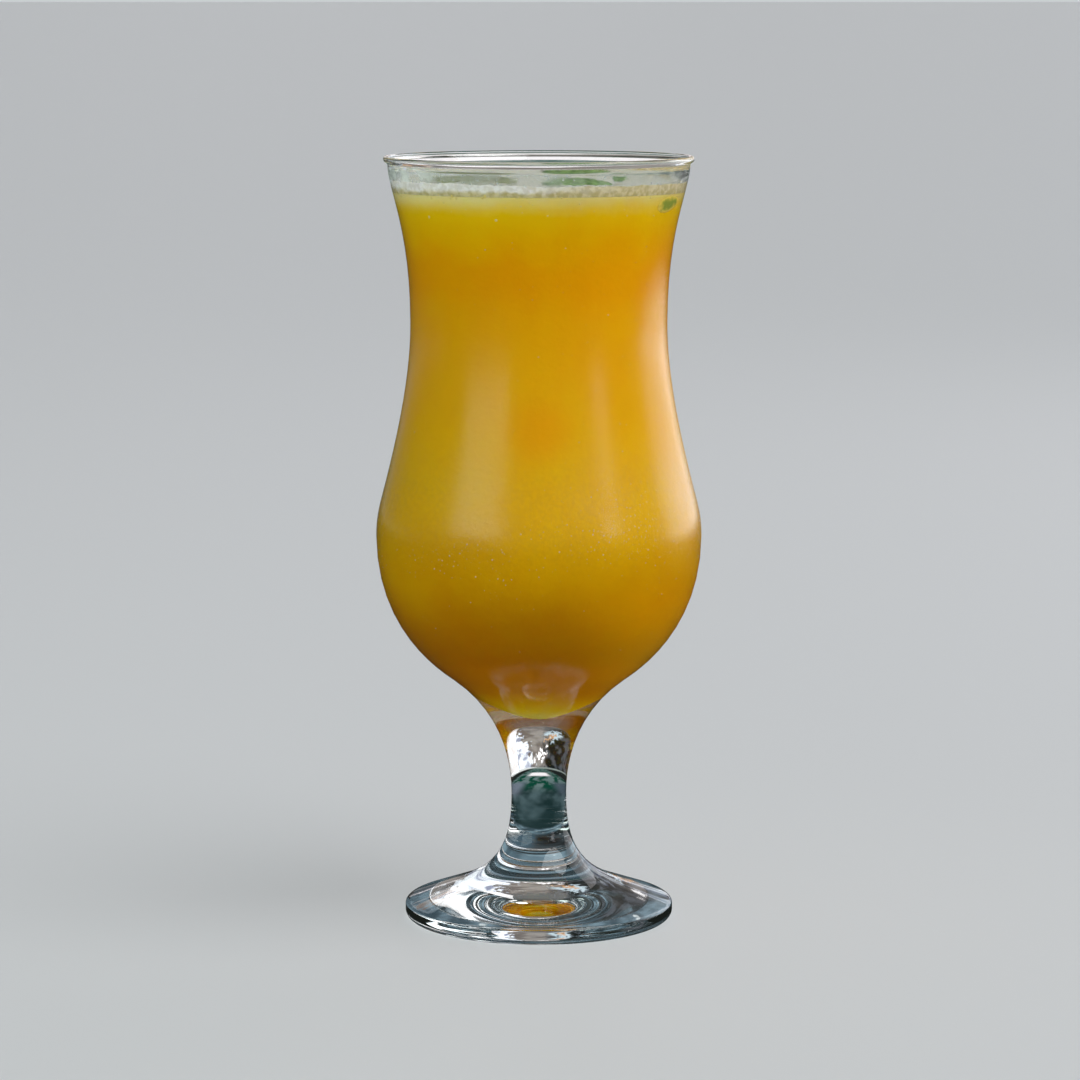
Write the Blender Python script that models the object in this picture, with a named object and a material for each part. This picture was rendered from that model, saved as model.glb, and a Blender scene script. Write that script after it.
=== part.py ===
"""A frozen fruit drink in a short-stemmed hurricane glass, with froth and mint leaves on top.

Run it with: blender --background --python part.py
Sizes are in metres and +Z is up. The origin is the middle of the ring that the foot stands on.
"""

import math
from typing import NamedTuple

import bmesh
import bpy
from mathutils import Vector, noise
from mathutils.geometry import interpolate_bezier

MM = 0.001

# Driving sizes of the glass
GLASS_HEIGHT = 200.0 * MM
LIP_RADIUS = 40.15 * MM
WAIST_RADIUS = 33.3 * MM
WAIST_HEIGHT = 157.4 * MM
BELLY_RADIUS = 42.4 * MM
BELLY_HEIGHT = 101.5 * MM
STEM_RADIUS = 7.2 * MM
STEM_HEIGHT = 32.7 * MM
FOOT_RADIUS = 35.2 * MM
WALL = 2.2 * MM
BOWL_FLOOR_HEIGHT = 57.0 * MM

# Driving sizes of what fills it
FROTH_TOP = 193.3 * MM
FROTH_DEPTH = 1.7 * MM
LEAF_THICKNESS = 0.4 * MM

# Gap between solids that touch
GAP = 0.3 * MM

# Sides of every turned solid
SIDES = 48


class Station(NamedTuple):
    """A point that a turned outline passes through.

    heading is the way the outline travels there, in degrees above straight outward.
    before and after are how far the curve holds that heading on either side.
    """

    radius: float
    height: float
    heading: float
    before: float = 0.0
    after: float = 0.0


def handle(station, distance):
    """The point that lies distance along a station's heading."""
    turn = math.radians(station.heading)
    return Vector((
        station.radius + distance * math.cos(turn),
        station.height + distance * math.sin(turn),
    ))


def flowing(stations, steps):
    """The points of a smooth outline through the stations, with steps[i] spans after station i."""
    points = [Vector((stations[0].radius, stations[0].height))]
    for first, last, spans in zip(stations, stations[1:], steps, strict=False):
        curve = interpolate_bezier(
            Vector((first.radius, first.height)),
            handle(first, first.after),
            handle(last, -last.before),
            Vector((last.radius, last.height)),
            spans + 1,
        )
        points += [Vector(p[:2]) for p in curve[1:]]
    return points


def arc(centre, radius, start, end, spans):
    """Points round a circle in the outline's plane, from start to end in degrees."""
    angles = [math.radians(start + (end - start) * i / spans) for i in range(spans + 1)]
    return [
        Vector((centre[0] + radius * math.cos(a), centre[1] + radius * math.sin(a)))
        for a in angles
    ]


def radius_at(outline, height):
    """The radius of a rising outline at a height."""
    for low, high in zip(outline, outline[1:], strict=False):
        if low.y <= height <= high.y:
            share = (height - low.y) / (high.y - low.y)
            return low.x + (high.x - low.x) * share
    raise ValueError(f"the outline doesn't reach {height}")


def drawn_in(outline, distance):
    """A rising outline moved towards the axis, at right angles to itself."""
    moved = []
    for i, point in enumerate(outline):
        along = (outline[min(i + 1, len(outline) - 1)] - outline[max(i - 1, 0)]).normalized()
        moved.append(point + Vector((-along.y, along.x)) * distance)
    moved[0].x = outline[0].x
    return moved


def turned(name, outline, material):
    """A closed solid made by spinning an outline that starts and ends on the axis."""
    mesh = bmesh.new()
    verts = [mesh.verts.new((p.x, 0.0, p.y)) for p in outline]
    edges = [mesh.edges.new(pair) for pair in zip(verts, verts[1:], strict=False)]
    bmesh.ops.spin(
        mesh,
        geom=verts + edges,
        cent=(0, 0, 0),
        axis=(0, 0, 1),
        angle=math.tau,
        steps=SIDES,
        use_merge=True,
    )
    bmesh.ops.remove_doubles(mesh, verts=mesh.verts, dist=0.001 * MM)
    return solid(name, mesh, material)


def solid(name, mesh, material, smooth=True):
    """Puts a finished bmesh into the scene as one object with outward faces."""
    bmesh.ops.recalc_face_normals(mesh, faces=mesh.faces)
    data = bpy.data.meshes.new(name)
    mesh.to_mesh(data)
    mesh.free()
    if smooth:
        data.shade_smooth()
        data.set_sharp_from_angle(angle=math.radians(40))
    data.materials.append(material)
    made = bpy.data.objects.new(name, data)
    bpy.context.collection.objects.link(made)
    return made


def surface(name, colour, roughness, transmission=0.0):
    """A Principled material for one sub-part."""
    made = bpy.data.materials.new(name)
    made.use_nodes = True
    shader = made.node_tree.nodes["Principled BSDF"]
    shader.inputs["Base Color"].default_value = (*colour, 1.0)
    shader.inputs["Roughness"].default_value = roughness
    shader.inputs["Metallic"].default_value = 0.0
    shader.inputs["Transmission Weight"].default_value = transmission
    return made


def outer_wall():
    """The outside of the glass, from the top of the foot to just under the lip."""
    stations = [
        Station(34.2 * MM, 4.75 * MM, 160.3, after=3.0 * MM),
        Station(21.9 * MM, 9.15 * MM, 160.3, before=4.0 * MM, after=12.7 * MM),
        Station(STEM_RADIUS, STEM_HEIGHT, 90, before=11.9 * MM, after=5.4 * MM),
        Station(23.0 * MM, 64.1 * MM, 35.3, before=18.7 * MM, after=4.2 * MM),
        Station(BELLY_RADIUS, BELLY_HEIGHT, 90, before=24.4 * MM, after=5.8 * MM),
        Station(39.3 * MM, 118.0 * MM, 104.1, before=8.9 * MM, after=23.9 * MM),
        Station(WAIST_RADIUS, WAIST_HEIGHT, 90, before=5.0 * MM, after=23.9 * MM),
        Station(39.1 * MM, 198.0 * MM, 86.6, before=7.7 * MM),
    ]
    return flowing(stations, steps=(1, 7, 7, 8, 4, 5, 5))


def inner_wall():
    """The inside of the bowl, from the middle of its thick floor to just under the lip."""
    stations = [
        Station(0.0, BOWL_FLOOR_HEIGHT, 0, after=5.0 * MM),
        Station(20.0 * MM, 73.0 * MM, 38, before=9.0 * MM, after=6.0 * MM),
        Station(BELLY_RADIUS - WALL, BELLY_HEIGHT, 90, before=22.5 * MM, after=5.8 * MM),
        Station(37.2 * MM, 117.6 * MM, 104.1, before=8.5 * MM, after=23.9 * MM),
        Station(WAIST_RADIUS - 0.9 * WALL, WAIST_HEIGHT, 90, before=5.0 * MM, after=23.5 * MM),
        Station(37.35 * MM, 196.8 * MM, 84, before=8.0 * MM),
    ]
    return flowing(stations, steps=(4, 7, 4, 5, 5))


def glass():
    """The pressed glass in one piece: bowl, solid stem and foot with a shallow dish under it."""
    dish_rise = 2.6 * MM
    dish_radius = 27.0 * MM
    ring_radius = 32.9 * MM
    edge_radius = 2.3 * MM
    shoulder_radius = 1.0 * MM
    shoulder_height = 3.75 * MM
    bead_radius = 0.7 * MM
    under_foot = flowing(
        [
            Station(0.0, dish_rise, 0, after=10.0 * MM),
            Station(dish_radius, 0.0, -12, before=9.0 * MM),
        ],
        steps=(4,),
    )
    foot_edge = [
        *arc((FOOT_RADIUS - edge_radius, edge_radius), edge_radius, -70, 0, 4),
        *arc((FOOT_RADIUS - shoulder_radius, shoulder_height), shoulder_radius, 0, 60, 2),
    ]
    lip = arc((LIP_RADIUS - bead_radius, GLASS_HEIGHT - bead_radius), bead_radius, -30, 210, 8)
    outline = [
        *under_foot,
        Vector((ring_radius, 0.0)),
        *foot_edge,
        *outer_wall(),
        *lip,
        *reversed(inner_wall()),
    ]
    return turned("glass", outline, surface("clear_glass", (0.95, 0.98, 0.97), 0.03, 1.0))


def drink():
    """The frozen drink up to its froth, drawn in from the wall of the glass by the gap."""
    level = FROTH_TOP - FROTH_DEPTH - GAP
    wall = drawn_in(inner_wall(), GAP)
    below = [p for p in wall if p.y < level - 1.0 * MM]
    outline = [*below, Vector((radius_at(wall, level), level)), Vector((0.0, level))]
    return turned("drink", outline, surface("frozen_drink", (0.78, 0.42, 0.02), 0.45))


def froth_height(x, y):
    """The height of the froth's top: low mounds of bubbles that climb a little at the wall."""
    ripple = 0.22 * MM * noise.noise(Vector((x, y, 0.0)) / (4.5 * MM))
    mound = 0.18 * MM * noise.noise(Vector((x, y, 0.03)) / (12.0 * MM))
    reach = math.hypot(x, y) / (36.0 * MM)
    left_side = 0.5 - 0.5 * x / max(math.hypot(x, y), MM)
    climb = (0.35 + 0.55 * left_side) * MM * reach**10
    return FROTH_TOP + ripple + mound + climb


def froth():
    """The layer of fine foam that floats on the drink, as a disc with bubbly relief on top."""
    rings = 8
    wall = drawn_in(inner_wall(), GAP)
    base = FROTH_TOP - FROTH_DEPTH
    mesh = bmesh.new()

    def ring(radius, height_of):
        places = [
            (radius * math.cos(math.tau * i / SIDES), radius * math.sin(math.tau * i / SIDES))
            for i in range(SIDES)
        ]
        return [mesh.verts.new((x, y, height_of(x, y))) for x, y in places]

    edge = radius_at(wall, FROTH_TOP)
    top = [ring(edge * (i + 1) / rings, froth_height) for i in range(rings)]
    bottom = ring(radius_at(wall, base), lambda x, y: base)
    top_middle = mesh.verts.new((0, 0, froth_height(0, 0)))
    bottom_middle = mesh.verts.new((0, 0, base))
    for i in range(SIDES):
        j = (i + 1) % SIDES
        mesh.faces.new((top_middle, top[0][i], top[0][j]))
        mesh.faces.new((bottom_middle, bottom[j], bottom[i]))
        for inner, outer in zip([*top, bottom][:-1], [*top, bottom][1:], strict=True):
            mesh.faces.new((inner[i], outer[i], outer[j], inner[j]))
    bmesh.ops.triangulate(mesh, faces=mesh.faces)
    return solid("froth", mesh, surface("white_froth", (0.72, 0.66, 0.52), 0.6))


class Leaf(NamedTuple):
    """Where a mint leaf floats and how it is shaped. heading is in degrees from +X, towards its tip."""

    name: str
    middle: tuple
    heading: float
    length: float
    width: float
    arch: float
    fold: float
    tilt: float


def leaf_half_width(leaf, share):
    """Half the width of an egg-shaped leaf with a toothed edge, at a share of its length."""
    teeth = 6
    blunt_end = 0.35 * MM
    tooth = 1.0 - 0.12 * ((share * teeth) % 1.0)
    return blunt_end + leaf.width / 2 * math.sin(math.pi * share**0.8) ** 0.75 * tooth


def mint_leaf(leaf, material):
    """A thin wavy leaf that lies on the froth, arched along its length, with its far side held higher."""
    spans, halves = 14, 2
    turn = math.radians(leaf.heading)
    mesh = bmesh.new()
    under, over = [], []
    for i in range(spans + 1):
        share = i / spans
        half = leaf_half_width(leaf, share)
        for j in range(-halves, halves + 1):
            along = (share - 0.5) * leaf.length
            across = half * j / halves
            x = leaf.middle[0] + along * math.cos(turn) - across * math.sin(turn)
            y = leaf.middle[1] + along * math.sin(turn) + across * math.cos(turn)
            rise = leaf.tilt * (0.5 + 0.5 * j / halves * math.copysign(1.0, math.cos(turn)))
            fold = leaf.fold * abs(j / halves) ** 1.5
            lift = math.sin(math.pi * share) ** 0.7 * (leaf.arch + fold + rise)
            wave = 0.08 * MM * (1.0 + math.sin(share * 19.0 + abs(j) * 1.7))
            z = froth_height(x, y) + GAP + lift + wave
            under.append(mesh.verts.new((x, y, z)))
            over.append(mesh.verts.new((x, y, z + LEAF_THICKNESS)))
    row = 2 * halves + 1
    for i in range(spans):
        for j in range(row - 1):
            a, b = i * row + j, (i + 1) * row + j
            mesh.faces.new((over[a], over[b], over[b + 1]))
            mesh.faces.new((over[a], over[b + 1], over[a + 1]))
            mesh.faces.new((under[a], under[b + 1], under[b]))
            mesh.faces.new((under[a], under[a + 1], under[b + 1]))
    margin = (
        [j for j in range(row)]
        + [i * row + row - 1 for i in range(1, spans + 1)]
        + [spans * row + j for j in range(row - 2, -1, -1)]
        + [i * row for i in range(spans - 1, 0, -1)]
    )
    for a, b in zip(margin, margin[1:] + margin[:1], strict=True):
        mesh.faces.new((under[a], over[a], over[b]))
        mesh.faces.new((under[a], over[b], under[b]))
    return solid(leaf.name, mesh, material)


def mint():
    """The mint on the froth: an arched leaf near the front, a flatter duller one, and a torn scrap."""
    bright = surface("mint_green", (0.16, 0.32, 0.06), 0.45)
    dull = surface("wet_mint_green", (0.22, 0.27, 0.08), 0.35)
    arched = Leaf(
        "mint_leaf_arched", (9.5 * MM, -25.0 * MM), 12, 17.5 * MM, 8.5 * MM, 0.5 * MM, -0.4 * MM, 0.85 * MM
    )
    mint_leaf(arched, bright)
    mint_leaf(
        Leaf("mint_leaf_flat", (-17.5 * MM, -12.0 * MM), 172, 24.0 * MM, 11.5 * MM, 0.1 * MM, 0.0, 1.0 * MM),
        dull,
    )
    mint_leaf(
        Leaf("mint_scrap", (21.0 * MM, -4.0 * MM), 70, 5.0 * MM, 3.4 * MM, 0.2 * MM, 0.15 * MM, 0.2 * MM),
        bright,
    )


for leftover in list(bpy.data.objects):
    bpy.data.objects.remove(leftover)
glass()
drink()
froth()
mint()
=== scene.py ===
import math
import random

import bpy
import numpy as np
from mathutils import Matrix, Vector, noise


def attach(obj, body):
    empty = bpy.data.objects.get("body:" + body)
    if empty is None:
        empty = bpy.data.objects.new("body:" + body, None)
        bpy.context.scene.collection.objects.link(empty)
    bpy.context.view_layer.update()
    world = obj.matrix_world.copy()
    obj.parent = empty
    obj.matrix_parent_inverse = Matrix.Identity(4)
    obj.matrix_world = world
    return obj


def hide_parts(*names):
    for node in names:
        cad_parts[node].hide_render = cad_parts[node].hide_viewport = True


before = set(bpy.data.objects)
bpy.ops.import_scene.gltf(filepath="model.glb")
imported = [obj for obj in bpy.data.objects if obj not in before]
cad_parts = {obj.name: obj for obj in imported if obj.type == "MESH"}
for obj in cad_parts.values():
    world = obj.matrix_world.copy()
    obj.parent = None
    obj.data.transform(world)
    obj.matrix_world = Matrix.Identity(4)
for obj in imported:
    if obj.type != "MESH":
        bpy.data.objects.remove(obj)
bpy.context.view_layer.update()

# The glass is one piece of pressed soda-lime glass: a rolled lip, a waisted bowl with a thick floor,
# a solid stem, and a flared foot with a shallow dish under it. It is turned from one drawn outline,
# and the ice-cold drink has misted the outside of the bowl.
MM = 0.001
GLASS_SIDES = 144

# Each station of an outline is radius, height, heading, and how far the curve holds that heading
# before and after it, in millimetres and in degrees above straight outward.
under_foot = [
    (0.0, 2.6, 0, 0, 10.0),
    (26.6, 0.09, -12, 9.0, 0.3),
    (27.4, 0.0, 0, 0.3, 1.5),
    (32.9, 0.0, 0, 1.5, 1.27),
    (35.2, 2.3, 90, 1.27, 0.4),
    (35.2, 3.6, 90, 0.4, 0.6),
]
outer_wall = [
    (34.2, 4.75, 160.3, 0.55, 3.0),
    (21.9, 9.15, 160.3, 4.0, 12.7),
    (7.2, 32.7, 90, 11.9, 5.4),
    (23.0, 64.1, 35.3, 18.7, 4.2),
    (42.4, 101.5, 90, 24.4, 5.8),
    (39.3, 118.0, 104.1, 8.9, 23.9),
    (33.3, 157.4, 90, 5.0, 23.9),
    (39.1, 198.0, 86.6, 7.7, 0.2),
]
rolled_lip = [
    (40.15, 199.3, 90, 0.8, 0.387),
    (39.45, 200.0, 180, 0.387, 0.387),
    (38.75, 199.3, 270, 0.387, 0.8),
]
inner_wall = [
    (0.0, 57.0, 0, 0, 5.0),
    (20.0, 73.0, 38, 9.0, 6.0),
    (40.2, 101.5, 90, 22.5, 5.8),
    (37.2, 117.6, 104.1, 8.5, 23.9),
    (31.32, 157.4, 90, 5.0, 23.5),
    (37.35, 196.8, 84, 8.0, 0.9),
]


def turned_back(stations):
    """The same stations, met from the other end."""
    return [(r, z, heading + 180, after, before) for r, z, heading, before, after in reversed(stations)]


def alone():
    """Leaves nothing selected, so that the next operator acts on its own piece."""
    if bpy.context.mode != "OBJECT":
        bpy.ops.object.mode_set(mode="OBJECT")
    bpy.ops.object.select_all(action="DESELECT")


def lathe(name, stations, sides, spans=12):
    """A solid turned round Z from a Bezier outline drawn through the stations."""
    alone()
    bpy.ops.curve.primitive_bezier_curve_add()
    drawing = bpy.context.object
    spline = drawing.data.splines[0]
    spline.bezier_points.add(len(stations) - 2)
    for point, (radius, height, heading, before, after) in zip(spline.bezier_points, stations):
        place = Vector((radius, 0, height)) * MM
        way = Vector((math.cos(math.radians(heading)), 0, math.sin(math.radians(heading)))) * MM
        point.handle_left_type = point.handle_right_type = "FREE"
        point.co = place
        point.handle_left = place - way * before
        point.handle_right = place + way * after
    drawing.data.resolution_u = spans
    bpy.ops.object.convert(target="MESH")
    piece = bpy.context.object
    piece.name = piece.data.name = name
    bpy.ops.object.mode_set(mode="EDIT")
    bpy.ops.mesh.select_all(action="SELECT")
    bpy.ops.mesh.spin(steps=sides, angle=math.tau, center=(0, 0, 0), axis=(0, 0, 1))
    bpy.ops.mesh.select_all(action="SELECT")
    bpy.ops.mesh.remove_doubles(threshold=0.002 * MM)
    bpy.ops.mesh.normals_make_consistent(inside=False)
    bpy.ops.object.mode_set(mode="OBJECT")
    bpy.ops.object.shade_smooth()
    return piece


def finish_for(name):
    """A new material, its node tree and its main shader."""
    made = bpy.data.materials.new(name)
    made.use_nodes = True
    return made, made.node_tree, made.node_tree.nodes["Principled BSDF"]


def add(tree, kind, inputs=None, **settings):
    """A shader node with its settings, and its inputs given as values or as sockets to link."""
    made = tree.nodes.new(kind)
    for key, value in settings.items():
        setattr(made, key, value)
    for key, value in (inputs or {}).items():
        if isinstance(value, bpy.types.NodeSocket):
            tree.links.new(value, made.inputs[key])
        else:
            made.inputs[key].default_value = value
    return made


def speckle(tree, scale, detail=2.0, stretch=(1, 1, 1), roughness=0.5):
    """Noise on object coordinates, with its grain about 1 / scale metres across."""
    coordinates = add(tree, "ShaderNodeTexCoord").outputs["Object"]
    placed = add(tree, "ShaderNodeMapping", {"Vector": coordinates, "Scale": stretch}).outputs[0]
    settings = {"Vector": placed, "Scale": scale, "Detail": detail, "Roughness": roughness}
    return add(tree, "ShaderNodeTexNoise", settings).outputs["Fac"]


def between(tree, value, low, high, bottom=0.0, top=1.0):
    """The value's place between low and high, eased, as a number from bottom to top."""
    settings = {"Value": value, "From Min": low, "From Max": high, "To Min": bottom, "To Max": top}
    return add(tree, "ShaderNodeMapRange", settings, interpolation_type="SMOOTHSTEP").outputs[0]


def product(tree, first, second):
    return add(tree, "ShaderNodeMath", {0: first, 1: second}, operation="MULTIPLY").outputs[0]


def plus(tree, first, second):
    return add(tree, "ShaderNodeMath", {0: first, 1: second}, operation="ADD").outputs[0]


def blend(tree, share, first, second):
    """A colour between two colours, each given as a value or as a socket."""
    first, second = [(*c, 1) if isinstance(c, tuple) else c for c in (first, second)]
    return add(tree, "ShaderNodeMix", {0: share, 6: first, 7: second}, data_type="RGBA").outputs[2]


def place_of(tree):
    """A point's height and its distance from the axis, on object coordinates."""
    at = add(tree, "ShaderNodeTexCoord").outputs["Object"]
    height = add(tree, "ShaderNodeSeparateXYZ", {0: at}).outputs["Z"]
    level = add(tree, "ShaderNodeMapping", {0: at, "Scale": (1, 1, 0)}).outputs[0]
    return height, add(tree, "ShaderNodeVectorMath", {0: level}, operation="LENGTH").outputs["Value"]


def offset_along(tree, axis):
    """How far a point lies along one axis, on object coordinates."""
    at = add(tree, "ShaderNodeTexCoord").outputs["Object"]
    return add(tree, "ShaderNodeSeparateXYZ", {0: at}).outputs[axis]


def drawn(stations):
    """Radii and heights along an outline, worked out from its Bezier curves."""
    shares = np.linspace(0, 1, 60)[:, None]
    points = []
    for (r0, z0, h0, _, after), (r1, z1, h1, before, _) in zip(stations, stations[1:]):
        start, end = np.array((r0, z0)), np.array((r1, z1))
        out = start + after * np.array((math.cos(math.radians(h0)), math.sin(math.radians(h0))))
        back = end - before * np.array((math.cos(math.radians(h1)), math.sin(math.radians(h1))))
        points.append(
            (1 - shares) ** 3 * start
            + 3 * shares * (1 - shares) ** 2 * out
            + 3 * shares**2 * (1 - shares) * back
            + shares**3 * end
        )
    return np.vstack(points)


outer_points, inner_points = drawn(outer_wall), drawn(inner_wall)


def radius_at(points, z):
    """The radius of a drawn wall at a height, in millimetres."""
    rising = np.maximum.accumulate(points[:, 1]) + np.arange(len(points)) * 1e-9
    return float(np.interp(z, rising, points[:, 0]))


glass_outline = [*under_foot, *outer_wall, *rolled_lip, *turned_back(inner_wall)]
glass = lathe("goblet", glass_outline, GLASS_SIDES)

outside = glass.data.attributes.new("outside", "FLOAT", "POINT")
for vertex in glass.data.vertices:
    across = Vector((vertex.co.x, vertex.co.y, 0))
    outside.data[vertex.index].value = float(vertex.normal.dot(across) > 0)

glass_finish, tree, shader = finish_for("misted clear glass")
shader.inputs["Base Color"].default_value = (0.90, 0.94, 0.925, 1)
shader.inputs["IOR"].default_value = 1.5
height, _ = place_of(tree)
above = between(tree, height, 55 * MM, 80 * MM)
below = between(tree, height, 186 * MM, 158 * MM)
on_outside = add(tree, "ShaderNodeAttribute", attribute_name="outside").outputs["Fac"]
mist = product(tree, on_outside, product(tree, above, below))
patches = between(tree, speckle(tree, 70, 3), 0.3, 0.65, 0.75, 1.0)
mist_here = product(tree, product(tree, mist, 0.23), patches)
belly_foot = between(tree, height, 92 * MM, 106 * MM)
belly = product(tree, belly_foot, between(tree, height, 134 * MM, 112 * MM, 0.08, 0.85))
grains = between(tree, speckle(tree, 1100, 2), 0.3, 0.7, 0.35, 1.0)
frost = product(tree, product(tree, belly, on_outside), product(tree, patches, grains))
tree.links.new(frost, shader.inputs["Coat Weight"])
shader.inputs["Coat Roughness"].default_value = 0.34
shader.inputs["Coat IOR"].default_value = 1.9
splashed = between(tree, height, 190 * MM, 193 * MM)
splashed_top = between(tree, height, 199.2 * MM, 196 * MM)
above_froth = product(tree, splashed, splashed_top)
film = product(tree, above_froth, between(tree, speckle(tree, 160, 3), 0.42, 0.62, 0.15, 1.0))
hazy = plus(tree, mist_here, product(tree, film, 0.2))
tree.links.new(plus(tree, hazy, 0.02), shader.inputs["Roughness"])
to_right = offset_along(tree, "X")
left_rim = between(tree, to_right, -20 * MM, -34 * MM, 0.16, 0.75)
milky = product(tree, above_froth, between(tree, speckle(tree, 210, 4), 0.38, 0.60, 0.25, 1.0))
on_inside = between(tree, on_outside, 0.0, 1.0, 1.0, 0.0)
milky = product(tree, product(tree, milky, left_rim), on_inside)
clear = add(tree, "ShaderNodeMath", {0: 1.0, 1: milky}, operation="SUBTRACT").outputs[0]
tree.links.new(clear, shader.inputs["Transmission Weight"])
beading = add(
    tree,
    "ShaderNodeBump",
    {"Strength": product(tree, mist, 0.3), "Distance": 0.00012, "Height": speckle(tree, 1300, 1)},
)
tree.links.new(beading.outputs["Normal"], shader.inputs["Normal"])
let_light_by = add(tree, "ShaderNodeBsdfTransparent", {"Color": (0.86, 0.88, 0.87, 1)})
is_shadow = add(tree, "ShaderNodeLightPath").outputs["Is Shadow Ray"]
shown = add(tree, "ShaderNodeMixShader", {0: is_shadow, 1: shader.outputs[0], 2: let_light_by.outputs[0]})
tree.links.new(shown.outputs[0], tree.nodes["Material Output"].inputs["Surface"])
glass.data.materials.append(glass_finish)
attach(glass, "root")
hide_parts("glass")

# The drink is a slush of orange fruit, juice and crushed ice that clings to the wall. Air makes it
# paler under the froth, and an orange band has settled below that. Its deep amber towards the bottom
# is partly its own colour and partly painted shade, for the underside that faces away from the light.
# Painted light: a pale lit patch low at the back, which shows through the thick floor of the bowl,
# and a lighter, redder lower right where light from the right falls.
WALL_REACH = 0.15
drink_top = 191.45
drink = lathe("slush", [*inner_wall, (0.0, 196.8, 180, 0, 0)], GLASS_SIDES)
bpy.ops.object.mode_set(mode="EDIT")
bpy.ops.mesh.select_all(action="SELECT")
bpy.ops.mesh.bisect(plane_co=(0, 0, drink_top * MM), plane_no=(0, 0, 1), clear_outer=True, use_fill=True)
bpy.ops.mesh.select_all(action="SELECT")
bpy.ops.mesh.normals_make_consistent(inside=False)
bpy.ops.transform.shrink_fatten(value=WALL_REACH * MM)
bpy.ops.object.mode_set(mode="OBJECT")

drink_finish, tree, shader = finish_for("frozen fruit slush")
height, _ = place_of(tree)
calm = between(tree, height, 178 * MM, 187 * MM, 1.0, 0.3)
calm = product(tree, calm, between(tree, height, 60 * MM, 72 * MM))
wander = product(tree, between(tree, speckle(tree, 45, 3), 0.3, 0.7, -2.5 * MM, 2.5 * MM), calm)
fine_wander = between(tree, speckle(tree, 260, 3), 0.3, 0.7, -0.35 * MM, 0.35 * MM)
fine_wander = product(tree, fine_wander, between(tree, height, 59 * MM, 66 * MM, 0.1, 1.0))
wavy_height = plus(tree, height, plus(tree, wander, fine_wander))
share_up = between(tree, wavy_height, 0.0, 0.2)
share_up.node.interpolation_type = "LINEAR"
layers_with_painted_shade = add(tree, "ShaderNodeValToRGB", {0: share_up})
# Painted shade: these stops darken the drink towards the bottom of the bowl, partly as the shade that falls
# on its underside.
layer_colours_with_painted_shade = [
    (57.8, (0.82, 0.60, 0.080)),
    (59.2, (0.78, 0.50, 0.010)),
    (62, (0.70, 0.35, 0.001)),
    (66, (0.58, 0.210, 0.001)),
    (74, (0.55, 0.182, 0.001)),
    (85, (0.57, 0.250, 0.001)),
    (95, (0.64, 0.335, 0.001)),
    (106, (0.70, 0.405, 0.001)),
    (118, (0.70, 0.415, 0.001)),
    (140, (0.72, 0.390, 0.001)),
    (160, (0.75, 0.385, 0.001)),
    (168, (0.76, 0.355, 0.001)),
    (174, (0.77, 0.365, 0.001)),
    (181, (0.79, 0.455, 0.001)),
    (186, (0.82, 0.540, 0.004)),
    (188.5, (0.81, 0.575, 0.060)),
    (191, (0.79, 0.630, 0.210)),
]
while len(layers_with_painted_shade.color_ramp.elements) < len(layer_colours_with_painted_shade):
    layers_with_painted_shade.color_ramp.elements.new(0.5)
for stop, (stop_height, colour) in zip(layers_with_painted_shade.color_ramp.elements, layer_colours_with_painted_shade):
    stop.position = stop_height / 200
    stop.color = (*colour, 1)
clouds = between(tree, speckle(tree, 60, 4, (1, 1, 0.6)), 0.42, 0.68, 0.0, 0.4)
clouded = add(
    tree,
    "ShaderNodeMix",
    {0: clouds, 6: layers_with_painted_shade.outputs[0], 7: (0.97, 0.86, 1.0, 1)},
    data_type="RGBA",
    blend_type="MULTIPLY",
)
blotch_middle = Vector((0, -37, 133)) * MM
from_blotch = add(
    tree,
    "ShaderNodeVectorMath",
    {0: add(tree, "ShaderNodeTexCoord").outputs["Object"], 1: blotch_middle},
    operation="DISTANCE",
).outputs["Value"]
blotch = between(tree, from_blotch, 12 * MM, 3 * MM, 0.0, 0.6)
blotched = blend(tree, blotch, clouded.outputs[2], (0.72, 0.30, 0.001))
to_right = offset_along(tree, "X")
# Painted light: the lower right of the drink is painted lighter and redder, where light from the right
# falls.
low = product(tree, between(tree, height, 97 * MM, 80 * MM), between(tree, height, 59 * MM, 63 * MM))
glow = product(tree, between(tree, to_right, 2 * MM, 30 * MM, 0.0, 0.9), low)
with_painted_light = blend(tree, glow, blotched, (0.90, 0.42, 0.001))
# Painted light: a pale lit patch low at the back of the drink, with a taupe patch painted at the middle of
# its lower edge.
to_back = offset_along(tree, "Y")
at_back = product(tree, between(tree, to_back, 9 * MM, 14 * MM), between(tree, to_right, -20 * MM, -6 * MM))
at_back = product(tree, at_back, between(tree, to_right, 23 * MM, 9 * MM))
drop = between(tree, to_right, 1 * MM, 9 * MM, 0.0, 5.0 * MM)
ragged = between(tree, speckle(tree, 130, 3), 0.3, 0.7, -2.2 * MM, 2.2 * MM)
painted_lit_height = plus(tree, height, ragged)
painted_lit_foot = between(tree, plus(tree, painted_lit_height, drop), 71.8 * MM, 75.0 * MM)
painted_lit_patch = product(tree, painted_lit_foot, between(tree, painted_lit_height, 85 * MM, 77 * MM))
painted_lit_patch = product(tree, product(tree, painted_lit_patch, at_back), between(tree, to_right, -6 * MM, 3 * MM, 0.45, 0.7))
drained = between(tree, height, 187 * MM, 190.5 * MM)
drained = product(tree, drained, between(tree, to_right, 24 * MM, -34 * MM, 0, 0.4))
with_painted_light = blend(tree, drained, with_painted_light, (1.0, 0.86, 0.48))
veil_and_painted_light = blend(tree, painted_lit_patch, with_painted_light, (1.0, 0.84, 0.60))
core = between(tree, to_right, -4.5 * MM, -0.5 * MM)
core = product(tree, core, between(tree, to_right, 5.0 * MM, 1.0 * MM))
core_height = between(tree, painted_lit_height, 74 * MM, 68 * MM, 0, 0.7)
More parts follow.
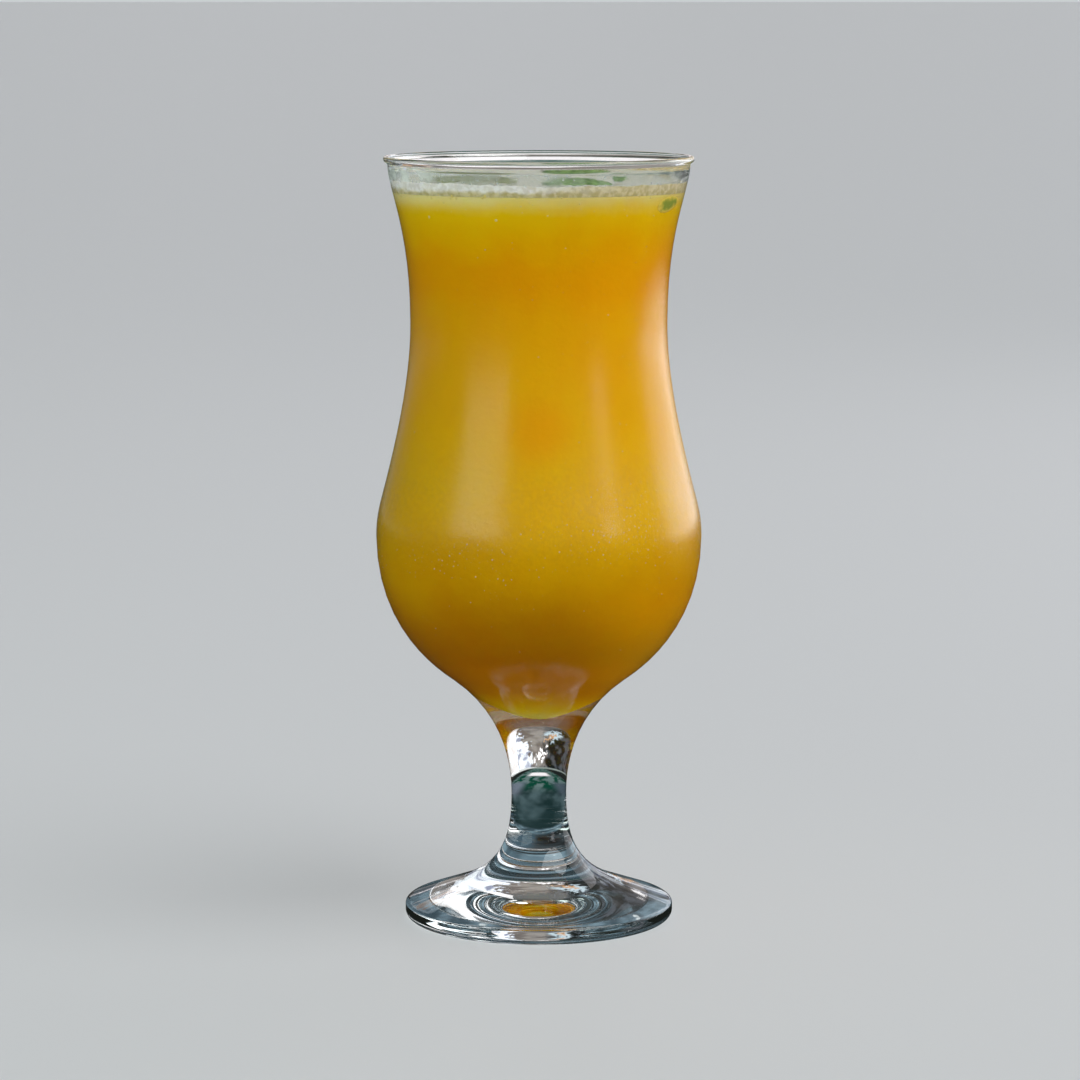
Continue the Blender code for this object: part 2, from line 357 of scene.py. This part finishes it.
core = product(tree, core, product(tree, between(tree, to_back, 7 * MM, 10 * MM), core_height))
tree.links.new(blend(tree, core, veil_and_painted_light, (0.46, 0.36, 0.31)), shader.inputs["Base Color"])
shader.inputs["Roughness"].default_value = 0.5
shader.inputs["Specular IOR Level"].default_value = 0.0
shader.inputs["Subsurface Weight"].default_value = 0.3
shader.inputs["Subsurface Radius"].default_value = (1.0, 0.55, 0.08)
shader.inputs["Subsurface Scale"].default_value = 0.006
icy = add(tree, "ShaderNodeBump", {"Strength": 0.5, "Distance": 0.0003, "Height": speckle(tree, 500, 4)})
tree.links.new(icy.outputs["Normal"], shader.inputs["Normal"])
drink.data.materials.append(drink_finish)
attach(drink, "root")
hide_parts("drink")

# The froth is a layer of fine bubbles that has risen out of the blended fruit. It floats on the
# drink, climbs the wall a little at the left, and its larger bubbles stand up on top.
froth_top, froth_base = 193.3, 191.2
froth_edge = radius_at(inner_points, froth_top) + WALL_REACH
froth_outline = [
    (0.0, froth_base, 0, 0, 4),
    (radius_at(inner_points, froth_base) + WALL_REACH, froth_base, 0, 4, 0),
    (froth_edge, froth_top, 79, 0.5, 0),
    (0.0, froth_top, 180, 8, 0),
]
froth = lathe("froth_layer", froth_outline, 300, spans=60)


def froth_height(x, y):
    """How far the froth's top stands above its level: low mounds, and a climb at the wall."""
    ripple = 0.22 * MM * noise.noise(Vector((x, y, 0.0)) / (4.5 * MM))
    mound = 0.18 * MM * noise.noise(Vector((x, y, 0.03)) / (12.0 * MM))
    reach = math.hypot(x, y) / (36.0 * MM)
    left_side = 0.5 - 0.5 * x / max(math.hypot(x, y), MM)
    return ripple + mound + (0.35 + 0.55 * left_side) * MM * reach**10


def bubbles(x, y, across):
    """The rounded tops of bubbles of one size."""
    nearest = noise.voronoi(Vector((x, y, across)) / across)[0][0]
    return across * 0.5 * math.sqrt(max(0.0, 1.0 - (nearest / 0.75) ** 2))


for vertex in froth.data.vertices:
    x, y, z = vertex.co
    if z > (froth_top - 0.2) * MM:
        small = bubbles(x, y, 0.55 * MM) * min(1.0, math.hypot(x, y) / (30 * MM)) ** 6
        large = bubbles(x, y, 1.4 * MM) * max(0.0, noise.noise(Vector((x, y, 0.09)) / (7 * MM)))
        vertex.co.z += froth_height(x, y) + small + large - 0.3 * MM
        reach = math.hypot(x, y) / (froth_edge * MM)
        wall = (radius_at(inner_points, vertex.co.z / MM) + WALL_REACH) / froth_edge
        vertex.co.x, vertex.co.y = (c * (1 + (wall - 1) * reach**12) for c in (x, y))

froth_finish, tree, shader = finish_for("fine white froth")
foam_tone = between(tree, speckle(tree, 700, 3), 0.38, 0.62)
tan_foam = blend(tree, foam_tone, (0.54, 0.45, 0.22), (0.72, 0.62, 0.39))
white_foam = blend(tree, foam_tone, (0.80, 0.76, 0.77), (0.97, 0.93, 0.98))
height, from_axis = place_of(tree)
uneven = between(tree, speckle(tree, 330, 4), 0.3, 0.7, -0.4 * MM, 0.4 * MM)
risen = between(tree, plus(tree, height, uneven), 191.7 * MM, 193.0 * MM)
at_wall = between(tree, from_axis, 33.5 * MM, 35.5 * MM)
to_right = offset_along(tree, "X")
whiter_left = between(tree, to_right, 22 * MM, -10 * MM, 0.12, 1.0)
foam = blend(tree, product(tree, product(tree, at_wall, risen), whiter_left), tan_foam, white_foam)
off_wall = between(tree, from_axis, 35.0 * MM, 33.0 * MM, 0.0, 0.8)
on_top = product(tree, between(tree, height, 192.1 * MM, 192.8 * MM), off_wall)
tree.links.new(blend(tree, on_top, foam, (0.97, 0.94, 0.85)), shader.inputs["Base Color"])
shader.inputs["Roughness"].default_value = 0.35
shader.inputs["Subsurface Weight"].default_value = 0.3
shader.inputs["Subsurface Radius"].default_value = (1.0, 0.8, 0.5)
shader.inputs["Subsurface Scale"].default_value = 0.002
pits = add(tree, "ShaderNodeBump", {"Strength": 0.6, "Distance": 0.0003, "Height": speckle(tree, 1500, 2)})
tree.links.new(pits.outputs["Normal"], shader.inputs["Normal"])
froth.data.materials.append(froth_finish)
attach(froth, "root")
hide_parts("froth")

# The mint was torn off the sprig and dropped in: a bright leaf that arches near the front, a flatter
# one at the left that the froth half veils, and a scrap. Each is a thin blade with a toothed edge,
# folded along its midrib.


def leaf_half_width(share, width):
    """Half the width of an egg-shaped leaf with a toothed edge, at a share of its length."""
    tooth = 1.0 - 0.12 * ((share * 6) % 1.0)
    return 0.35 * MM + width / 2 * math.sin(math.pi * share**0.8) ** 0.75 * tooth


def mint_leaf(name, middle, heading, length, width, arch, fold, tilt):
    """A grid shaped into a leaf that lies on the froth, then given its thickness.

    Sizes are in millimetres and the heading in degrees.
    """
    alone()
    bpy.ops.mesh.primitive_grid_add(x_subdivisions=60, y_subdivisions=24, size=1)
    leaf = bpy.context.object
    leaf.name = leaf.data.name = name
    turn = math.radians(heading)
    for vertex in leaf.data.vertices:
        share = vertex.co.x + 0.5
        side = vertex.co.y * 2
        along = vertex.co.x * length * MM
        across = side * leaf_half_width(share, width * MM)
        x = middle[0] * MM + along * math.cos(turn) - across * math.sin(turn)
        y = middle[1] * MM + along * math.sin(turn) + across * math.cos(turn)
        rise = tilt * (0.5 + 0.5 * side * math.copysign(1.0, math.cos(turn)))
        lift = math.sin(math.pi * share) ** 0.7 * (arch + fold * abs(side) ** 1.5 + rise)
        wave = 0.08 * (1.0 + math.sin(share * 19.0 + abs(side) * 3.4))
        rib = 0.16 * math.exp(-((side / 0.06) ** 2))
        vein = 0.07 * math.cos((share * 9 - abs(side) * 1.6) * math.tau) * abs(side) ** 0.3
        z = froth_top * MM + froth_height(x, y) + (0.3 + lift + wave - rib - vein + 0.15) * MM
        vertex.co = (x, y, z)
    bpy.ops.object.modifier_add(type="SOLIDIFY")
    leaf.modifiers[-1].thickness = 0.3 * MM
    leaf.modifiers[-1].offset = 1
    bpy.ops.object.modifier_apply(modifier=leaf.modifiers[-1].name)
    bpy.ops.object.shade_smooth()
    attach(leaf, "root")
    return leaf


def leaf_finish(name, dark, light, roughness):
    """Leaf tissue, with blotches of two greens."""
    made, tree, shader = finish_for(name)
    tone = between(tree, speckle(tree, 350, 3), 0.35, 0.65)
    tree.links.new(blend(tree, tone, dark, light), shader.inputs["Base Color"])
    shader.inputs["Roughness"].default_value = roughness
    shader.inputs["Subsurface Weight"].default_value = 0.2
    shader.inputs["Subsurface Radius"].default_value = (0.5, 1.0, 0.2)
    shader.inputs["Subsurface Scale"].default_value = 0.001
    skin = add(tree, "ShaderNodeBump", {"Strength": 0.4, "Distance": 0.0002, "Height": speckle(tree, 1200)})
    tree.links.new(skin.outputs["Normal"], shader.inputs["Normal"])
    return made


bright_mint = leaf_finish("bright mint", (0.08, 0.19, 0.03), (0.25, 0.42, 0.11), 0.4)
wet_mint = leaf_finish("wet mint", (0.19, 0.22, 0.07), (0.36, 0.38, 0.17), 0.3)
leaf_shapes = {
    "mint_arched": ((9.5, -25.0), 12, 17.5, 8.5, 0.5, -0.4, 0.85),
    "mint_flat": ((-17.5, -12.0), 172, 24.0, 11.5, 0.1, 0.0, 1.0),
    "mint_torn": ((21.0, -4.0), 70, 5.0, 3.4, 0.2, 0.15, 0.2),
}
leaf_parts = [
    ("mint_arched", "mint_leaf_arched", bright_mint, "mint_leaf"),
    ("mint_flat", "mint_leaf_flat", wet_mint, "wet_mint_leaf"),
    ("mint_torn", "mint_scrap", bright_mint, "mint_leaf"),
]
for name, node, finish, slot in leaf_parts:
    leaf = mint_leaf(name, *leaf_shapes[name])
    leaf.data.materials.append(finish)
    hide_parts(node)

# A fleck of mint has sunk beside the right wall. Air bubbles have been caught against the wall just
# under the froth, and foam and drops that splashed up cling to the wall above it.
fleck_finish, tree, shader = finish_for("sunk mint")
depth = add(tree, "ShaderNodeAttribute", attribute_name="depth").outputs["Fac"]
ragged = plus(tree, depth, between(tree, speckle(tree, 500, 3), 0.3, 0.7, -0.3, 0.3))
veil_and_painted_light = between(tree, ragged, 0.0, 0.9)
tree.links.new(blend(tree, veil_and_painted_light, (0.79, 0.59, 0.10), (0.27, 0.34, 0.06)), shader.inputs["Base Color"])
shader.inputs["Roughness"].default_value = 0.5
shader.inputs["Specular IOR Level"].default_value = 0.0
alone()
bpy.ops.mesh.primitive_grid_add(x_subdivisions=24, y_subdivisions=10, size=1)
fleck = bpy.context.object
fleck.name = fleck.data.name = "sunk_fleck"
sunk = fleck.data.attributes.new("depth", "FLOAT", "POINT")
for vertex in fleck.data.vertices:
    share, side = vertex.co.x + 0.5, vertex.co.y * 2
    sunk.data[vertex.index].value = (1 - side**2) * math.sin(math.pi * share) ** 0.6
    angle = math.radians(-25) + vertex.co.x * 11.5 / 36
    z = 188.7 + 1.0 * vertex.co.x + side * leaf_half_width(share, 3.6 * MM) / MM
    out = (radius_at(inner_points, z) + WALL_REACH - 0.10 + 0.12 * (1 - side**2)) * MM
    vertex.co = (out * math.cos(angle), out * math.sin(angle), z * MM)
bpy.ops.object.modifier_add(type="SOLIDIFY")
fleck.modifiers[-1].thickness = 0.2 * MM
fleck.modifiers[-1].offset = 0
bpy.ops.object.modifier_apply(modifier=fleck.modifiers[-1].name)
bpy.ops.object.shade_smooth()
fleck.data.materials.append(fleck_finish)
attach(fleck, "root")


def scattered(name, model, places):
    """One piece made of copies of a model, each with its own mesh, at the given matrices."""
    copies = []
    for place in places:
        copy = model.copy()
        copy.data = model.data.copy()
        copy.data.transform(place)
        bpy.context.collection.objects.link(copy)
        copies.append(copy)
    alone()
    for copy in copies:
        copy.select_set(True)
    bpy.context.view_layer.objects.active = copies[0]
    bpy.ops.object.join()
    piece = bpy.context.object
    piece.name = piece.data.name = name
    bpy.data.objects.remove(model)
    return piece


def dome(segments, rings):
    """The half of a ball of radius 1 that stands on its flat side."""
    alone()
    bpy.ops.mesh.primitive_uv_sphere_add(segments=segments, ring_count=rings, radius=1)
    bpy.ops.object.mode_set(mode="EDIT")
    bpy.ops.mesh.select_all(action="SELECT")
    bpy.ops.mesh.bisect(plane_co=(0, 0, -0.05), plane_no=(0, 0, 1), clear_inner=True, use_fill=True)
    bpy.ops.object.mode_set(mode="OBJECT")
    bpy.ops.object.shade_smooth()
    return bpy.context.object


def on_wall(points, z, angle, across, depth, outward=1, sink=0.0):
    """The matrix that puts a dome on a wall at a height and an angle, bulging outward or inward."""
    r = radius_at(points, z) + sink
    slope = radius_at(points, z + 0.5) - radius_at(points, z - 0.5)
    normal = Vector((math.cos(angle), math.sin(angle), -slope)).normalized() * outward
    place = Vector((r * math.cos(angle), r * math.sin(angle), z)) * MM
    turn = normal.to_track_quat("Z", "Y").to_matrix().to_4x4()
    size = Matrix.Diagonal((across * MM, across * random.uniform(0.85, 1.2) * MM, depth * MM, 1))
    return Matrix.Translation(place) @ turn @ size


random.seed(5)
BUBBLES_AT_WALL = 150
SPOTS_OF_FOAM = 500
bubble_places = []
for _ in range(BUBBLES_AT_WALL):
    z = 191.6 - 6.5 * random.random() ** 2.5
    across = 0.12 + 0.30 * random.random() ** 3
    angle = random.uniform(0, math.tau)
    bubble_places.append(on_wall(inner_points, z, angle, across, 0.16, 1, WALL_REACH - 0.04))
bubbles_piece = scattered("wall_bubbles", dome(10, 6), bubble_places)
bubble_finish, tree, shader = finish_for("air bubbles")
shader.inputs["Base Color"].default_value = (0.80, 0.64, 0.24, 1)
shader.inputs["Roughness"].default_value = 0.25
bubbles_piece.data.materials.append(bubble_finish)
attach(bubbles_piece, "root")

cling_places = []
while len(cling_places) < SPOTS_OF_FOAM:
    angle = random.uniform(0, math.tau)
    left = 0.5 - 0.5 * math.cos(angle)
    z = 194.0 + 4.2 * random.random() ** (1.7 - 0.7 * left)
    patch = noise.noise(Vector((math.cos(angle) * 5, math.sin(angle) * 5, z / 3)))
    if random.random() > (0.12 + 0.8 * left**2) * (0.7 + 1.2 * patch):
        continue
    across = 0.08 + 0.20 * random.random() ** 2.5
    cling_places.append(on_wall(inner_points, min(z, 196.6), angle, across, across * 0.4, -1, 0.02))
cling = scattered("clinging_foam", dome(8, 6), cling_places)
cling_finish, tree, shader = finish_for("thin clinging foam")
shader.inputs["Base Color"].default_value = (0.86, 0.90, 0.90, 1)
shader.inputs["Transmission Weight"].default_value = 0.5
shader.inputs["IOR"].default_value = 1.33
shader.inputs["Roughness"].default_value = 0.15
cling.data.materials.append(cling_finish)
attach(cling, "root")

# Water has beaded on the cold outside of the bowl, most thickly round its widest part and at the
# right. Each drop is a flat dome, a tenth or two of a millimetre across.
random.seed(11)
DROPS = 2200
drop_places = []
while len(drop_places) < DROPS:
    z = random.uniform(74, 180)
    angle = random.uniform(0, math.tau)
    to_the_right = 0.5 + 0.5 * math.cos(angle)
    thick = 0.06 + 0.94 * math.exp(-(((z - 98 - 11 * to_the_right) / 9.0) ** 2))
    patch = noise.noise(Vector((math.cos(angle) * 2, math.sin(angle) * 2, z / 9)))
    if random.random() > thick * (0.1 + 0.6 * to_the_right**2 + 0.9 * patch):
        continue
    across = 0.05 + 0.11 * random.random() ** 4
    drop_places.append(on_wall(outer_points, z, angle, across, across * 0.4))
drops = scattered("condensation", dome(6, 4), drop_places)
water_finish, tree, shader = finish_for("condensed water")
shader.inputs["Base Color"].default_value = (0.95, 0.93, 0.90, 1)
shader.inputs["Transmission Weight"].default_value = 0.6
shader.inputs["IOR"].default_value = 1.33
shader.inputs["Roughness"].default_value = 0.2
drops.data.materials.append(water_finish)
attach(drops, "root")

# The floor is a plain pale sheet that runs far behind the glass. A clear stem and foot show whatever
# stands round them. To rays that have met the glass the floor is a painted glow instead, whose soft
# dark and bright patches are painted reflections and a painted view through the stem and foot.
alone()
bpy.ops.mesh.primitive_circle_add(vertices=96, radius=400, fill_type="NGON")
floor = bpy.context.object
floor.name = "floor"
floor_finish, tree, shader = finish_for("pale floor")
shader.inputs["Base Color"].default_value = (0.40, 0.41, 0.42, 1)
shader.inputs["Roughness"].default_value = 0.6
shader.inputs["Emission Color"].default_value = (0.92, 0.96, 1.0, 1)
shader.inputs["Emission Strength"].default_value = 0.27
floor_finish.cycles.emission_sampling = "NONE"
_, from_glass = place_of(tree)
at = add(tree, "ShaderNodeSeparateXYZ", {0: add(tree, "ShaderNodeTexCoord").outputs["Object"]}).outputs
blue_stripe = between(tree, at["X"], 11 * MM, 7 * MM, 0.2, 1.0)
blue_stripe = product(tree, between(tree, at["X"], 0, 2 * MM), blue_stripe)
# Painted shade and painted glints under and round the foot, as seen through it.
blotches = between(tree, speckle(tree, 90, 3), 0.40, 0.62)
under = blend(tree, blotches, (0.012, 0.014, 0.016), (0.055, 0.070, 0.080))
under = blend(tree, blue_stripe, under, (0.07, 0.12, 0.16))
rim_side = blend(tree, blotches, (0.06, 0.10, 0.13), (0.26, 0.38, 0.46))
under = blend(tree, between(tree, from_glass, 21 * MM, 28 * MM), under, rim_side)
painted_glints = between(tree, speckle(tree, 230, 2), 0.66, 0.70)
under = blend(tree, painted_glints, under, (0.80, 0.88, 0.92))
slate = between(tree, speckle(tree, 9, 3), 0.42, 0.62)
round_it = blend(tree, slate, (0.012, 0.032, 0.034), (0.085, 0.135, 0.150))
green_spots = between(tree, speckle(tree, 7, 3, (1.6, 1, 1)), 0.44, 0.56)
greenish = blend(tree, green_spots, (0.004, 0.065, 0.040), (0.15, 0.22, 0.22))
aside = add(tree, "ShaderNodeMath", {0: at["X"]}, operation="ABSOLUTE").outputs[0]
greenish = blend(tree, between(tree, aside, 0.28, 0.42), greenish, (0.015, 0.018, 0.018))
behind_it = blend(tree, between(tree, from_glass, 0.16, 0.26), round_it, greenish)
dusk = between(tree, speckle(tree, 5, 3), 0.45, 0.65)
in_front = blend(tree, dusk, (0.008, 0.010, 0.009), (0.040, 0.045, 0.040))
beside = product(tree, between(tree, from_glass, 0.10, 0.17), between(tree, from_glass, 0.38, 0.26))
at_right = product(tree, beside, between(tree, at["X"], 0.06, 0.14))
at_left = product(tree, beside, between(tree, at["X"], -0.06, -0.14))
behind_it = blend(tree, at_right, behind_it, (0.19, 0.22, 0.28))
behind_it = blend(tree, at_left, behind_it, (0.08, 0.11, 0.14))
shade_round = blend(tree, between(tree, at["Y"], 0, 60 * MM), in_front, behind_it)
shade_near = blend(tree, between(tree, from_glass, 41 * MM, 50 * MM), under, shade_round)
far_mottle = between(tree, speckle(tree, 0.6, 3), 0.35, 0.65)
shade_far = blend(tree, far_mottle, (0.24, 0.28, 0.26), (0.40, 0.45, 0.43))
shade_far = blend(tree, between(tree, at["Y"], -0.5, 0.5), (0.04, 0.045, 0.040), shade_far)
shade = blend(tree, between(tree, from_glass, 1.8, 4.6), shade_near, shade_far)
bright_side = product(tree, between(tree, at["X"], 0.7, 1.1), between(tree, at["Y"], 0.4, 0.6))
shade = blend(tree, bright_side, shade, (0.9, 0.9, 0.9))
strip = product(tree, between(tree, at["Y"], 0.50, 0.60), between(tree, at["Y"], 0.95, 0.80))
strip = product(tree, strip, between(tree, at["X"], -0.19, -0.10))
strip = product(tree, strip, between(tree, at["X"], 0.19, 0.10))
seen_through = blend(tree, strip, shade, (1.15, 1.06, 1.10))
reflected = blend(tree, between(tree, from_glass, 0.5, 1.6), (0.010, 0.012, 0.010), shade)
path = add(tree, "ShaderNodeLightPath")
met = blend(tree, path.outputs["Is Transmission Ray"], reflected, seen_through)
# Painted light: the floor glows with these painted patches, only for rays that have met the glass.
painted_surroundings = add(tree, "ShaderNodeEmission", {0: met})
seen_or_lit = {0: path.outputs["Is Camera Ray"], 1: path.outputs["Diffuse Depth"]}
is_seen = add(tree, "ShaderNodeMath", seen_or_lit, use_clamp=True).outputs[0]
surface = add(tree, "ShaderNodeMixShader", {0: is_seen, 1: painted_surroundings.outputs[0], 2: shader.outputs[0]})
tree.links.new(surface.outputs[0], tree.nodes["Material Output"].inputs["Surface"])
floor.data.materials.append(floor_finish)

# The room is a plain soft grey. Behind the glass, rays that have met it find it mottled: bright at
# the right, dark at the left, warm between them, and with four soft patches of light.
world = bpy.data.worlds.new("soft room")
bpy.context.scene.world = world
world.use_nodes = True
sky = world.node_tree
is_seen = add(sky, "ShaderNodeLightPath").outputs["Is Camera Ray"]
way = add(sky, "ShaderNodeTexCoord").outputs["Generated"]
way_parts = add(sky, "ShaderNodeSeparateXYZ", {0: way}).outputs
streaks = add(sky, "ShaderNodeMapping", {0: way, "Scale": (1, 1, 2.2)}).outputs[0]
mottle = add(sky, "ShaderNodeTexNoise", {"Vector": streaks, "Scale": 5.0, "Detail": 2.5}).outputs["Fac"]
fine = add(sky, "ShaderNodeTexNoise", {"Vector": way, "Scale": 17.0, "Detail": 3.0}).outputs["Fac"]
x = plus(sky, way_parts["X"], between(sky, fine, 0.3, 0.7, -0.07, 0.07))
z = plus(sky, way_parts["Z"], between(sky, fine, 0.3, 0.7, 0.07, -0.07))
slope = add(sky, "ShaderNodeMath", {0: x, 1: 1.6, 2: -0.085}, operation="MULTIPLY_ADD").outputs[0]
under_slope = add(sky, "ShaderNodeMath", {0: slope, 1: z}, operation="SUBTRACT").outputs[0]
bright_part = product(sky, between(sky, x, 0.09, 0.15), between(sky, x, 0.60, 0.50))
bright_part = product(sky, bright_part, between(sky, under_slope, -0.05, 0.05))
bright_part = product(sky, bright_part, between(sky, z, 0.62, 0.50))


def spot(x_middle, z_middle, x_reach, z_reach):
    """A soft round patch in the room's far side, with its edge broken by the mottles."""
    squared = []
    for part, middle, reach in ((x, x_middle, x_reach), (z, z_middle, z_reach)):
        scaled = {0: part, 1: 1 / reach, 2: -middle / reach}
        off = add(sky, "ShaderNodeMath", scaled, operation="MULTIPLY_ADD").outputs[0]
        squared.append(product(sky, off, off))
    return between(sky, plus(sky, *squared), 1.4, 0.4)


left_part = blend(sky, between(sky, mottle, 0.42, 0.60), (0.012, 0.014, 0.012), (0.10, 0.11, 0.13))
middle_part = blend(sky, between(sky, mottle, 0.40, 0.62), (0.20, 0.17, 0.16), (0.40, 0.36, 0.34))
wall_behind = blend(sky, between(sky, x, -0.20, -0.02), left_part, middle_part)
shining = blend(sky, between(sky, mottle, 0.36, 0.56), (0.42, 0.44, 0.60), (1.45, 1.50, 1.60))
wall_behind = blend(sky, bright_part, wall_behind, shining)
wall_behind = blend(sky, spot(-0.05, 0.12, 0.10, 0.055), wall_behind, (1.7, 1.6, 1.65))
wall_behind = blend(sky, spot(-0.26, 0.42, 0.16, 0.10), wall_behind, (0.72, 0.85, 0.95))
wall_behind = blend(sky, spot(-0.20, 0.36, 0.06, 0.05), wall_behind, (0.80, 0.45, 0.24))
wall_behind = blend(sky, spot(0.80, 0.28, 0.12, 0.20), wall_behind, (1.0, 1.25, 1.35))
overhead = blend(sky, between(sky, z, 0.55, 0.70), wall_behind, (0.17, 0.175, 0.18))
behind = between(sky, way_parts["Y"], 0.35, 0.60)
room = blend(sky, behind, (0.050, 0.060, 0.055), overhead)
glow = blend(sky, is_seen, room, (0.60, 0.63, 0.66))
sky.links.new(glow, sky.nodes["Background"].inputs["Color"])


BOWL_MIDDLE = Vector((0, 0, 0.11))


def panel(name, azimuth, elevation, distance, width, height, power, colour):
    """A soft panel that faces the bowl. Azimuth 0 is on the camera's side and 90 is at the right."""
    alone()
    bpy.ops.object.light_add(type="AREA")
    lamp = bpy.context.object
    lamp.name = name
    a, e = math.radians(azimuth), math.radians(elevation)
    way = Vector((math.sin(a) * math.cos(e), -math.cos(a) * math.cos(e), math.sin(e)))
    lamp.location = BOWL_MIDDLE + way * distance
    lamp.rotation_euler = way.to_track_quat("Z", "Y").to_euler()
    lamp.data.shape = "RECTANGLE"
    lamp.data.size, lamp.data.size_y = width, height
    lamp.data.energy = power
    lamp.data.color = colour
    lamp.visible_camera = False
    return lamp


# Soft light comes from a high key at the right, from a panel at the front left that the bowl mirrors,
# and from a large panel at the right and behind. Two fills light the drink without a reflection.
panel("front_left_panel", -45, 15, 1.3, 0.85, 0.34, 1.1, (0.86, 1.0, 0.97))
panel("front_right_panel", 53, 12, 1.5, 0.3, 0.3, 0.4, (1.0, 0.96, 1.0))
panel("right_back_panel", 126, 20, 1.5, 1.35, 1.3, 5.6, (1.0, 0.95, 0.97))
low_fill = panel("low_right_fill", 66, 0, 1.5, 1.2, 0.2, 4.8, (1.0, 0.95, 0.88))
low_fill.visible_glossy = low_fill.visible_transmission = False
fill = panel("front_left_fill", -44, 10, 1.6, 2.2, 0.7, 14, (0.88, 1.0, 0.86))
fill.visible_glossy = fill.visible_transmission = False
alone()
bpy.ops.object.light_add(type="SUN")
key = bpy.context.object
key.name = "upper_right_key"
key.rotation_euler = Vector((0.75, -0.45, 1.2)).to_track_quat("Z", "Y").to_euler()
key.data.energy = 1.65
key.data.angle = math.radians(50)

# The camera stands about a metre in front of the glass and looks slightly down on it.
CAMERA_PLACE = (0.0003, -1.0099, 0.2399)
CAMERA_DIP = math.radians(7.88)
CAMERA_LENS = 130.17
alone()
bpy.ops.object.camera_add(location=CAMERA_PLACE, rotation=(math.radians(90) - CAMERA_DIP, 0, 0))
camera = bpy.context.object
camera.data.lens = CAMERA_LENS
camera.data.sensor_width = 36
camera.data.clip_start, camera.data.clip_end = 0.05, 1000
bpy.context.scene.camera = camera
bpy.context.scene.cycles.max_bounces = 24
bpy.context.scene.cycles.glossy_bounces = 16
bpy.context.scene.cycles.transmission_bounces = 24
bpy.context.scene.view_settings.view_transform = "Standard"
